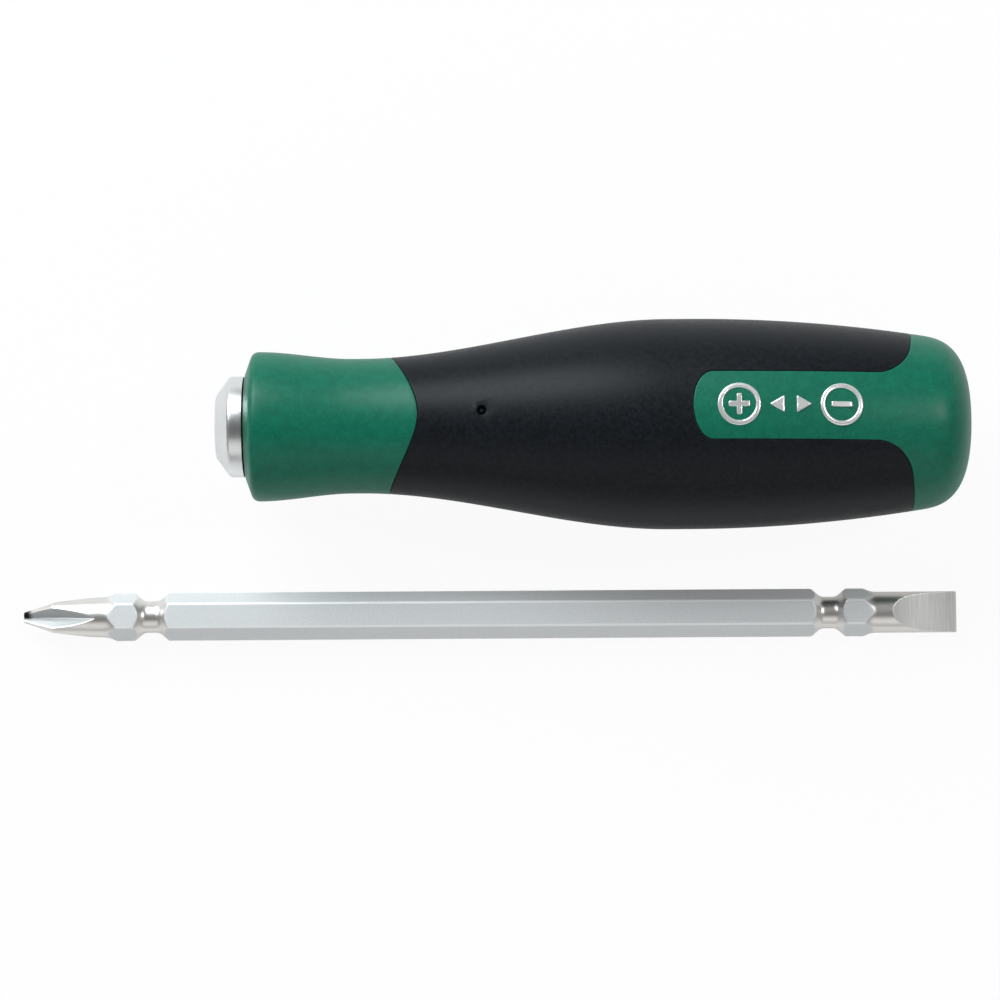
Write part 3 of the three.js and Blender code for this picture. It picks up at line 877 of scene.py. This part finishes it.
hexReach = (blade["acrossFlats"] / 2 - blade["hexRound"]) / math.cos(math.pi / 6) + blade["hexRound"]
quarterTurns = math.pi / 2 + blade["fluteTurn"] + np.arange(4) * math.pi / 2  # middles of the flutes


def softMin(first, second, blend):  # the lesser of two radii, with the edge between them rounded
    overlap = np.clip(blend - np.abs(first - second), 0, None) / blend
    return np.minimum(first, second) - overlap ** 2 * blend / 4


def fromFlat(angle):  # angle from the middle of the nearest of six flats
    return (angle - math.pi / 2 + math.pi / 6) % (math.pi / 3) - math.pi / 6


def hexRadius(angle):  # hexagon with flats up and down and round edges, angle from +Y
    b = blade
    flat = fromFlat(angle)
    centre = (b["acrossFlats"] / 2 - b["hexRound"]) / math.cos(math.pi / 6)
    fromEdge = math.pi / 6 - np.abs(flat)
    touch = math.atan2(b["hexRound"] / 2, centre + b["hexRound"] * math.cos(math.pi / 6))
    inside = np.clip(b["hexRound"] ** 2 - (centre * np.sin(fromEdge)) ** 2, 0, None)
    edge = centre * np.cos(fromEdge) + np.sqrt(inside)
    return np.where(fromEdge < touch, edge, b["acrossFlats"] / 2 / np.cos(flat))


def flareLine(start, radius, end):  # a shank that widens to the hexagon's corners
    return bezier((start, radius), ((start + end) / 2, radius), (end, hexReach), blade["flareRows"])


def turnedRadius(station):  # envelope of the turned parts: cone, shanks, flares and ball grooves
    b = blade
    bandEnd = b["groove"] - b["grooveWidth"] / 2
    bandStart = bandEnd - b["bandWidth"]
    rims = [(b["groove"] + side * b["grooveWidth"] / 2, hexReach) for side in (-1, 1)]
    necks = [(b["groove"] + side * b["neckWidth"] / 2, b["neckRadius"]) for side in (-1, 1)]
    groove = np.concatenate([
        rims[:1], roundedCorner(rims[0], necks[0], necks[1], b["neckRound"]),
        roundedCorner(necks[0], necks[1], rims[1], b["neckRound"]), rims[1:]])
    crossFlare = flareLine(b["crossShank"], b["crossRadius"], bandStart)
    slotFlare = flareLine(b["slotShank"], b["slotRadius"], bandStart)
    start = np.array([(0, b["pointRadius"]), (b["coneLength"], b["coneRadius"])])
    slotHalf = np.concatenate([[(0, b["slotRadius"])], slotFlare, groove])
    rear = slotHalf[::-1] * np.array([-1, 1]) + np.array([b["length"], 0])
    line = np.concatenate([start, crossFlare, groove, rear])
    return np.interp(station, line[:, 0], line[:, 1])


def wheelRadius():  # wheel that cuts the flutes: their length is half a chord, their rise its height
    rise = blade["crossRadius"] - blade["fluteRoot"]
    return (blade["fluteLength"] ** 2 + rise ** 2) / (2 * rise)


def fluteRadius(station, angle):  # walls left by a V-edged wheel that runs out of the shank, four times
    b = blade
    wheel = wheelRadius()
    hub = wheel + b["fluteRoot"]
    spreadOut = math.tan(b["fluteAngle"] / 2)
    turn = (angle - math.pi / 2 - b["fluteTurn"] + math.pi / 4) % (math.pi / 2) - math.pi / 4
    soft = b["fluteRound"]
    side, up = (np.hypot(np.sin(turn), soft) - soft) / spreadOut, np.cos(turn)
    square = side ** 2 - up ** 2
    linear = 2 * (hub * up - wheel * side)
    constant = wheel ** 2 - station ** 2 - hub ** 2
    inside = linear ** 2 - 4 * square * constant
    root = -2 * constant / (linear + np.sqrt(np.clip(inside, 0, None)))
    return np.where((inside > 0) & (station < b["fluteLength"] * b["fluteRunOut"]), root, b["uncut"])


def grindHeight(station):  # height of the hollow-ground faces above the middle, a curve drawn to the tip
    b = blade
    start = b["length"] - b["grindLength"]
    tip = b["tipThickness"] / 2
    drop = b["slotRadius"] - tip - b["grindTip"] * b["grindLength"]
    bend = drop / (b["grindEntry"] - b["grindTip"])
    middle = (start + bend, b["slotRadius"] - b["grindEntry"] * bend)
    line = bezier((start, b["slotRadius"]), middle, (b["length"], tip), b["grindRows"])
    return np.interp(station, line[:, 0], line[:, 1], left=b["uncut"])


def barRadius(station, angle):  # the lesser of hexagon and turned envelope, with a soft edge between them
    b = blade
    fadeStart = b["length"] - b["slotShank"] - b["softStart"]
    blend = b["edgeBreak"] * (1 - ease((station - fadeStart) / b["softLength"])) + b["leastSoft"]
    return softMin(hexRadius(angle) + 0 * station, turnedRadius(station) + 0 * angle, blend)


def cornerRound(first, corner, last):  # three points on a curve that rounds an edge
    t = np.array([0.25, 0.5, 0.75])[:, None]
    first, corner, last = first[:, None], corner[:, None], last[:, None]
    return (1 - t) ** 2 * first + 2 * t * (1 - t) * corner + t ** 2 * last


def polar(radius, angle):  # across and up, from a radius and an angle from +Y
    radius, angle = np.broadcast_arrays(radius, angle)
    return radius[..., None] * np.stack([np.cos(angle), np.sin(angle)], -1)


def fluteOpening(station, radius):  # half the angle that a flute takes from a shank, by halving an interval
    low, high = np.zeros_like(station), np.full_like(station, math.pi / 4)
    for step in range(blade["halvings"]):
        middle = (low + high) / 2
        cut = fluteRadius(station, quarterTurns[0] + middle) < radius
        low, high = np.where(cut, middle, low), np.where(cut, high, middle)
    return low


def crossRing(station, trim):  # rings of flutes, edges and lands at each station of the cross tip
    b = blade
    land = turnedRadius(station) - trim
    opening = fluteOpening(station, land)
    edge = np.minimum(b["fluteEdge"], b["edgeShare"] * opening * land) / land
    parts = []
    for middle in quarterTurns:
        inner = (opening - edge) * np.linspace(-1, 1, b["fluteColumns"] + 1)
        flute = polar(np.minimum(fluteRadius(station, middle + inner), land), middle + inner)
        outer = opening + edge
        reach = middle + outer + (math.pi / 2 - 2 * outer) * np.linspace(0, 1, b["landColumns"] + 1)
        shank = polar(land, reach)
        rising = cornerRound(flute[:, -1], polar(land, middle + opening)[:, 0], shank[:, 0])
        nextStart = polar(np.minimum(fluteRadius(station, middle + inner[:, :1]), land),
                          middle + math.pi / 2 + inner[:, :1])[:, 0]
        falling = cornerRound(shank[:, -1], polar(land, middle + math.pi / 2 - opening)[:, 0], nextStart)
        parts += [flute, rising, shank, falling]
    return np.concatenate(parts, 1)


def slotRing(station, trim):  # rings of round sides, edges and ground faces at each station of the tip
    b = blade
    radius = b["slotRadius"] - trim
    height = np.minimum(grindHeight(station) - trim, radius)
    reach = np.arcsin(height / radius)
    width = radius * np.cos(reach)
    edge = np.minimum(b["groundEdge"], b["edgeShare"] * width)
    turn = (reach - edge / radius) * np.linspace(-1, 1, b["sideColumns"] + 1)
    line = (width - edge) * np.linspace(1, -1, b["faceColumns"] + 1)
    nearSide = polar(radius, turn)
    upper = np.stack(np.broadcast_arrays(line, height), -1)
    corner = np.concatenate([width, height], -1)
    rising = cornerRound(nearSide[:, -1], corner, upper[:, 0])
    falling = cornerRound(upper[:, -1], corner * np.array([-1, 1]), -nearSide[:, 0])
    half = [nearSide, rising, upper, falling]
    return np.concatenate(half + [-part for part in half], 1)


def alongBlade(station, ring):  # rings of across and up, set at their stations
    station = np.broadcast_to(station, ring.shape[:2])
    return patch(bladeOrigin + mm * np.concatenate([station[..., None], ring], -1), around=True)


def endRounding():  # a quarter round from the flank to an end face: steps from the end, and trims
    turn = np.linspace(0, math.pi / 2, blade["endRows"])[:, None]
    return blade["endBreak"] * (1 - np.sin(turn)), blade["endBreak"] * (1 - np.cos(turn))


def makeBlade():  # rings set along the axis: cross tip, bar and slotted tip
    b = blade
    fluteEnd = b["fluteLength"]
    wheel = wheelRadius()
    for step in range(b["settleSteps"]):  # where the wheel leaves the slightly tapered shank
        fluteEnd = math.sqrt(wheel ** 2 - (wheel + b["fluteRoot"] - turnedRadius(fluteEnd)) ** 2)
    away, trim = endRounding()
    share = np.linspace(0, 1, b["crossRows"])[1:, None]
    flank = b["endBreak"] + (fluteEnd - b["endBreak"]) * (1 - (1 - share) ** b["crossBunching"])
    crossStation = np.concatenate([away[::-1], flank])
    crossRows = crossRing(crossStation, np.concatenate([trim[::-1], 0 * flank]))
    grindStart = b["length"] - b["grindLength"]
    slotEnd = b["length"] - b["endBreak"]
    share = np.linspace(0, 1, b["slotRows"])[:-1, None]
    ground = grindStart + (slotEnd - grindStart) * share ** b["slotBunching"]
    slotStation = np.concatenate([ground, b["length"] - away])
    slotRows = slotRing(slotStation, np.concatenate([0 * ground, trim]))
    station = np.concatenate([
        np.arange(fluteEnd, b["endLength"], b["endRow"]),
        np.linspace(b["endLength"], b["length"] - b["endLength"], b["barRows"]),
        grindStart - np.arange(0, grindStart - b["length"] + b["endLength"], b["endRow"])[::-1]])[:, None]
    drift = b["fluteTurn"] * (1 - ease((station - fluteEnd) / b["driftLength"]))
    even = math.pi / 2 + drift + np.arange(4 * b["landColumns"]) * math.pi / 2 / b["landColumns"]
    leave = ease((station - fluteEnd) / b["crowdLength"])
    arrive = ease((grindStart - station) / b["crowdLength"])
    crowd = leave * arrive * b["bunching"]
    angle = even - crowd * np.sin(6 * even) / 6
    barRows = polar(barRadius(station, angle), angle)
    shrink = np.array([0.0, 0.5])[:, None, None]  # the end faces close to a point
    crossRows = np.concatenate([crossRows[:1] * shrink, crossRows])
    crossStation = np.concatenate([0 * shrink[:, 0], crossStation])
    slotRows = np.concatenate([slotRows, slotRows[-1:] * shrink[::-1]])
    slotStation = np.concatenate([slotStation, b["length"] + 0 * shrink[:, 0]])
    rings = ((crossStation, crossRows), (station, barRows), (slotStation, slotRows))
    patches = [alongBlade(*part) for part in rings]
    piece = makePiece("reversibleBlade", patches, "blade", steel, crease=b["crease"])
    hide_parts("double_ended_blade")
    markZones(piece.data)


bladeZones = {
    "cutDepth": 0.02,  # a face this far inside another shape counts as cut by it
    "cutFade": 0.06,
    "glintReach": math.radians(4.0),
    "glintFade": math.radians(1.6),
    "tipShadeLength": 1.5,
    "tipShadeFade": 0.9,
    "tipShadeSide": 0.45,  # how far the painted shade at the tip runs over to -Y
    "tipShadeSideFade": 0.5,
}


def cutShare(depth):  # 0 on the uncut surface, 1 where a cut lies under it
    return ease((depth - bladeZones["cutDepth"]) / bladeZones["cutFade"])


def markZones(mesh):  # where the blade is turned, fluted or ground across, where its hex edges get a painted highlight, and where its cross tip's end gets painted shade
    b, z = blade, bladeZones
    along, across, up = meshSpots(mesh, bladeOrigin)
    angle, radius = np.arctan2(up, across), np.hypot(across, up)
    envelope = turnedRadius(along)
    ground = cutShare(envelope - radius) * (along > b["length"] - b["grindLength"])
    fluted = cutShare(envelope - radius) * (along < b["fluteLength"])
    turned = cutShare(hexRadius(angle) - envelope) * (1 - ground) * (1 - fluted)
    fromEdge = math.pi / 6 - np.abs(fromFlat(angle))
    # painted highlight along the hex edges, fading towards the middle of each flat
    edgeGlint = ease((z["glintReach"] - fromEdge) / z["glintFade"]) * (1 - turned) * (1 - ground) * (1 - fluted)
    # painted shade at the cross tip's end, darker on its +Y side
    endShare = ease((z["tipShadeLength"] - along) / z["tipShadeFade"])
    tipShade = endShare * ease((across + z["tipShadeSide"]) / z["tipShadeSideFade"])
    zones = {"turned": turned, "fluted": fluted, "ground": ground, "edgeGlint": edgeGlint, "tipShade": tipShade}
    for name, values in zones.items():
        addZone(mesh, name, values)


makeBlade()


# Raised marks on the label tongue: a cross-slot head, two pointers and a slotted head

marks = {
    "height": 0.26,
    "sunk": 0.15,
    "edgeWidth": 0.30,  # rounding of the upper edges, across and down
    "edgeHeight": 0.22,
    "ringRadius": 2.75,  # to the middle of the ring's width
    "ringHalfWidth": 0.36,
    "crossAt": 76.2,
    "slotAt": 91.0,
    "armReach": 1.55,
    "armHalfWidth": 0.40,
    "pointerAt": (82.0, 85.2),
    "pointerReach": 1.5,
    "outlinePower": 9,  # higher gives sharper corners
    "clearance": 0.01,
    "edgeRows": 7,
    "topRows": 5,
    "columns": 120,
}
markTop = cadHigh.z - handleOrigin[2] - marks["clearance"] * mm  # marks stay level with the belly


def onTongue(at, along, across, lift):  # points beside a station of the tongue's middle line
    station = at + along
    radius = handleRadius(station)
    turn = across / radius
    room = markTop / mm / np.cos(turn + handle["panelRoll"]) - radius
    share = np.clip(room / marks["height"], 0, 1)  # low marks where the belly leaves little room
    return turnedPoint(station, radius + np.where(lift > 0, lift * share, lift), turn)


def upperEdge():  # steps in from an outline and up to the mark's top, as a quarter round
    m = marks
    turn = np.linspace(0, math.pi / 2, m["edgeRows"])
    return m["edgeWidth"] * (1 - np.cos(turn)), m["height"] - m["edgeHeight"] * (1 - np.sin(turn))


def ringPatch(at):  # a flat band with round edges, carried round a circle
    m = marks
    inset, height = upperEdge()
    outward = m["ringHalfWidth"] - np.concatenate([[0], inset])
    height = np.concatenate([[-m["sunk"]], height])
    radius = m["ringRadius"] + np.concatenate([outward, -outward[::-1]])
    lift = np.concatenate([height, height[::-1]])
    turn = fullTurn(m["columns"])[:, None]
    rows = onTongue(at, radius * np.cos(turn), radius * np.sin(turn), lift + 0 * turn)
    return patch(np.concatenate([rows, rows[:1]]), around=True)


def outlinePatch(at, outline):  # a raised shape whose outline is a distance from its middle at each angle
    m = marks
    inset, height = upperEdge()
    turn = fullTurn(m["columns"])[None, :]
    reach = outline(turn)
    edge = reach - inset[:, None]
    shares = np.linspace(1, 0, m["topRows"])[1:, None]
    distance = np.concatenate([0 * reach, reach, edge, edge[-1:] * shares])
    lift = np.concatenate([[-m["sunk"], -m["sunk"]], height, np.full(len(shares), m["height"])])[:, None]
    rows = onTongue(at, distance * np.cos(turn), distance * np.sin(turn), lift + 0 * turn)
    return patch(rows, around=True)


def barOutline(turn):  # superellipse that is longer along the handle than across it
    m = marks
    long = np.abs(np.cos(turn)) / m["armReach"]
    wide = np.abs(np.sin(turn)) / m["armHalfWidth"]
    return (long ** m["outlinePower"] + wide ** m["outlinePower"]) ** (-1 / m["outlinePower"])


def crossOutline(turn):  # two such bars at a right angle
    return np.maximum(barOutline(turn), barOutline(turn + math.pi / 2))


def pointerOutline(turn):  # triangle with soft corners that points to the nose
    m = marks
    sides = math.pi + np.array([-1, 1, 3])[:, None] * math.pi / 3
    near = np.clip(np.cos(turn - sides), 0, None) / (m["pointerReach"] / 2)
    return (near ** m["outlinePower"]).sum(0, keepdims=True) ** (-1 / m["outlinePower"])


def backPointerOutline(turn):  # the same triangle, pointing to the dome
    return pointerOutline(turn + math.pi)


def makeMarks():
    m = marks
    frontAt, backAt = m["pointerAt"]
    crossHead = [ringPatch(m["crossAt"]), outlinePatch(m["crossAt"], crossOutline)]
    slotHead = [ringPatch(m["slotAt"]), outlinePatch(m["slotAt"], barOutline)]
    pointers = [outlinePatch(frontAt, pointerOutline), outlinePatch(backAt, backPointerOutline)]
    heads = {"crossMark": crossHead, "slotMark": slotHead, "pointerMarks": pointers}
    for name, patches in heads.items():
        makePiece(name, patches, "handle", chrome)


makeMarks()


# Pieces inside the nose keep their solids and get a finish

innerFinishes = {"socket_tube": socketSteel, "spring_washer": socketSteel, "snap_ring": springSteel}
for node, finish in innerFinishes.items():
    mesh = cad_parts[node].data
    mesh.materials.clear()
    mesh.materials.append(finish)
print("pieces made")


# Floor, light and camera

studio = {
    "floor": 6.0,  # metres across
    "floorDrop": 0.05,
    "floorColour": (0.82, 0.82, 0.82, 1),
    "floorGlow": 0.94,  # share of plain white in what the camera sees of the floor
    "mirroredGlow": 0.36,  # the same in what metal shows of it
    "horizon": 0.40,
    "zenith": 0.12,
    "zenithHeight": 0.9,
    "lampAim": (0, 0, 0.01),
}
lamps = {  # places and sizes in metres, glow is the brightness of the lamp's face
    "keyLamp": {"place": (-0.38, 0.583, 0.571), "size": (0.62, 0.54), "glow": 8.6, "tint": (0.91, 0.98, 1.0)},
    "fillLamp": {"place": (0.0, -0.60, 0.46), "size": (1.2, 0.50), "glow": 0.7, "tint": (1, 1, 1)},
    "endLamp": {"place": (0.46, 0.125, 0.56), "size": (0.065, 0.065), "glow": 92.0, "tint": (1, 1, 1)},
}


def pictureRays(board):  # 1 for rays that show the background: straight, and mirrored or through glass
    path = board.tree.nodes.new("ShaderNodeLightPath")
    straight, glossy, through = [Wire(board, path.outputs[name])
                                 for name in ("Is Camera Ray", "Is Glossy Ray", "Is Transmission Ray")]
    return straight, glossy.math("MAXIMUM", glossy, through)


def makeFloor():
    reach = studio["floor"] / 2
    below = -studio["floorDrop"] * mm
    corners = [(-reach, -reach, below), (reach, -reach, below), (reach, reach, below), (-reach, reach, below)]
    mesh = bpy.data.meshes.new("floor")
    mesh.from_pydata(corners, [], [(0, 1, 2, 3)])
    floor = bpy.data.objects.new("floor", mesh)
    bpy.context.scene.collection.objects.link(floor)
    paper = bpy.data.materials.new("paper")
    paper.use_nodes = True
    paper.node_tree.nodes.clear()
    board = Board(paper.node_tree)
    lit = board.add("ShaderNodeBsdfDiffuse", {}, {"Color": studio["floorColour"]})
    glow = board.add("ShaderNodeEmission", {}, {"Color": (1, 1, 1, 1), "Strength": 1.0})
    straight, mirrored = pictureRays(board)
    share = straight * studio["floorGlow"] + mirrored * studio["mirroredGlow"]
    both = board.add("ShaderNodeMixShader", {}, {0: share, 1: lit, 2: glow})
    out = paper.node_tree.nodes.new("ShaderNodeOutputMaterial")
    paper.node_tree.links.new(both.socket, out.inputs["Surface"])
    mesh.materials.append(paper)


def makeWorld():  # a pale room that is darker overhead, plain white where the camera looks straight at it
    world = bpy.data.worlds.new("studio")
    bpy.context.scene.world = world
    world.use_nodes = True
    board = Board(world.node_tree)
    background = world.node_tree.nodes["Background"]
    background.inputs["Color"].default_value = (1, 1, 1, 1)
    direction = board.add("ShaderNodeTexCoord", {}, {}, output="Generated")
    height = board.add("ShaderNodeSeparateXYZ", {}, {"Vector": direction}, output="Z")
    rise = height.between(0.0, studio["zenithHeight"])
    room = studio["horizon"] + (studio["zenith"] - studio["horizon"]) * rise
    straight = pictureRays(board)[0]
    strength = straight + (1 - straight) * room
    world.node_tree.links.new(strength.socket, background.inputs["Strength"])


def makeLamp(name, place, size, glow, tint):
    lamp = bpy.data.lights.new(name, "AREA")
    lamp.shape = "RECTANGLE"
    lamp.size, lamp.size_y = size
    lamp.energy = glow * math.pi * size[0] * size[1]
    lamp.color = tint
    holder = bpy.data.objects.new(name, lamp)
    holder.location = place
    holder.rotation_mode = "QUATERNION"
    holder.rotation_quaternion = (Vector(studio["lampAim"]) - Vector(place)).to_track_quat("-Z", "Y")
    bpy.context.scene.collection.objects.link(holder)


makeFloor()
makeWorld()
for name, settings in lamps.items():
    makeLamp(name, **settings)

photoCamera = {
    "target": (1.165, -2.01, 0.0),  # millimetres
    "distance": 561.0,
    "elevation": math.radians(85),
    "roll": math.radians(-0.375),
    "fieldOfView": math.radians(15.39),
    "sensor": 36,
    "nearest": 0.01,  # metres
}


def makeCamera():
    c = photoCamera
    lens = bpy.data.cameras.new("photoCamera")
    lens.sensor_width = c["sensor"]
    lens.lens = lens.sensor_width / 2 / math.tan(c["fieldOfView"] / 2)
    lens.clip_start = c["nearest"]
    camera = bpy.data.objects.new("photoCamera", lens)
    back = Vector((0, -math.cos(c["elevation"]), math.sin(c["elevation"])))
    camera.location = (Vector(c["target"]) + back * c["distance"]) * mm
    camera.rotation_mode = "QUATERNION"
    camera.rotation_quaternion = (-back).to_track_quat("-Z", "Y") @ Quaternion((0, 0, 1), c["roll"])
    bpy.context.scene.collection.objects.link(camera)
    bpy.context.scene.camera = camera


makeCamera()
bpy.context.scene.view_settings.view_transform = "Standard"
print("stage set")
